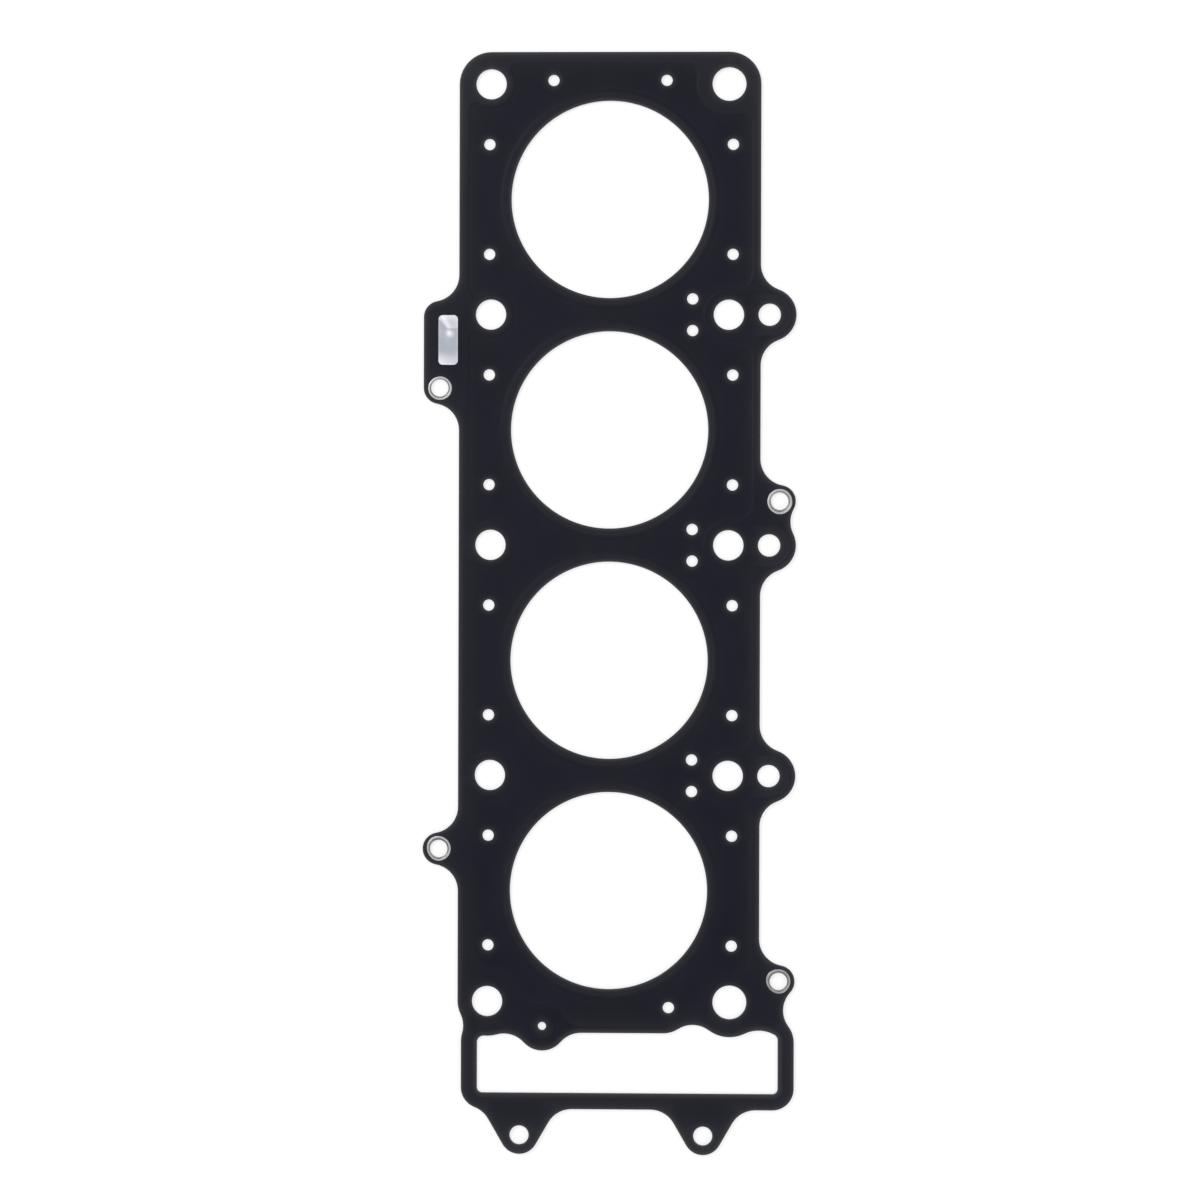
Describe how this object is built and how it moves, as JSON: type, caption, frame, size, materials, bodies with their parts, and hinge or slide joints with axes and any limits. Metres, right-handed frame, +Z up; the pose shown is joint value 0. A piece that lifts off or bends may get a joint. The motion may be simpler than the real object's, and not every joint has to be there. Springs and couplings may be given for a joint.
{
  "type": "cylinder head gasket",
  "caption": "Multi-layer steel head gasket for an in-line four with a chain opening at one end; black coated outer layers, bare spacer and rolled eyelets.",
  "frame": {"origin": "on the surface that the gasket lies on, under the middle of its outline's box", "axes": "+X across the engine towards the oil returns, +Y along the row of cylinders away from the chain opening, +Z up through the layers, towards the layer with the window"},
  "size_m": [0.1391, 0.4116, 0.0018],
  "materials": {
    "coated_sheet": "spring steel sheet with a thin black rubber coat, satin",
    "spacer_sheet": "bare rolled stainless sheet",
    "eyelet_metal": "plain steel, rolled over by a punch"
  },
  "bodies": {
    "root": {"upper_layer": "coated_sheet", "middle_layer": "spacer_sheet", "lower_layer": "coated_sheet", "eyelets": "eyelet_metal"}
  },
  "joints": []
}
